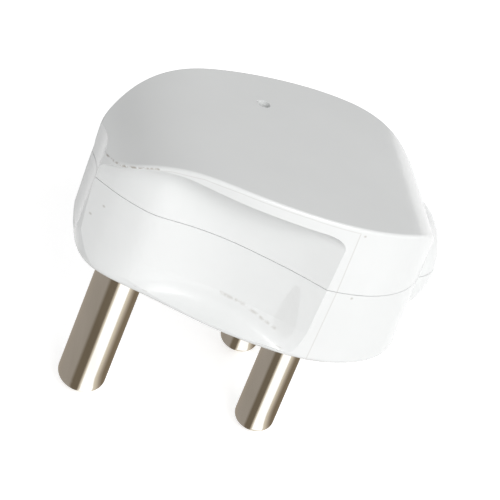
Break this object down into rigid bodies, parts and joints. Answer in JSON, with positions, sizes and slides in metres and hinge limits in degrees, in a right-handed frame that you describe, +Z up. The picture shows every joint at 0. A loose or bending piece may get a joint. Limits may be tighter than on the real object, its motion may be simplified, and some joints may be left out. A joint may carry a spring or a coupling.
{
  "type": "three-pin plug",
  "caption": "White rewirable mains plug with round contact pins, finger-grip sides and a side cord entry, standing on its pin tips.",
  "frame": {"origin": "centre of the footprint's bounding box, on the floor that the three pin tips stand on", "axes": "+Z up. +X towards the cord entry end, with the earth pin towards -X. The pins lean 15.8 degrees from the vertical, so that all three rounded tips touch the floor."},
  "size_m": [0.0652, 0.0482, 0.0544],
  "materials": {
    "body_plastic": "glossy moulded white, lightly soiled",
    "pin_metal": "nickel-plated brass, polished",
    "insert_metal": "plain turned brass",
    "screw_metal": "zinc-plated steel",
    "clamp_plastic": "matt moulded white"
  },
  "bodies": {
    "root": {"base_shell": "body_plastic", "cover_shell": "body_plastic", "earth_pin": "pin_metal", "neutral_pin": "pin_metal", "line_pin": "pin_metal", "earth_terminal_screw": "screw_metal", "neutral_terminal_screw": "screw_metal", "line_terminal_screw": "screw_metal", "fixing_screw_near": "screw_metal", "fixing_screw_far": "screw_metal", "brass_insert_near": "insert_metal", "brass_insert_far": "insert_metal", "cord_clamp_bar": "clamp_plastic", "cord_clamp_screw_near": "screw_metal", "cord_clamp_screw_far": "screw_metal"}
  },
  "joints": []
}
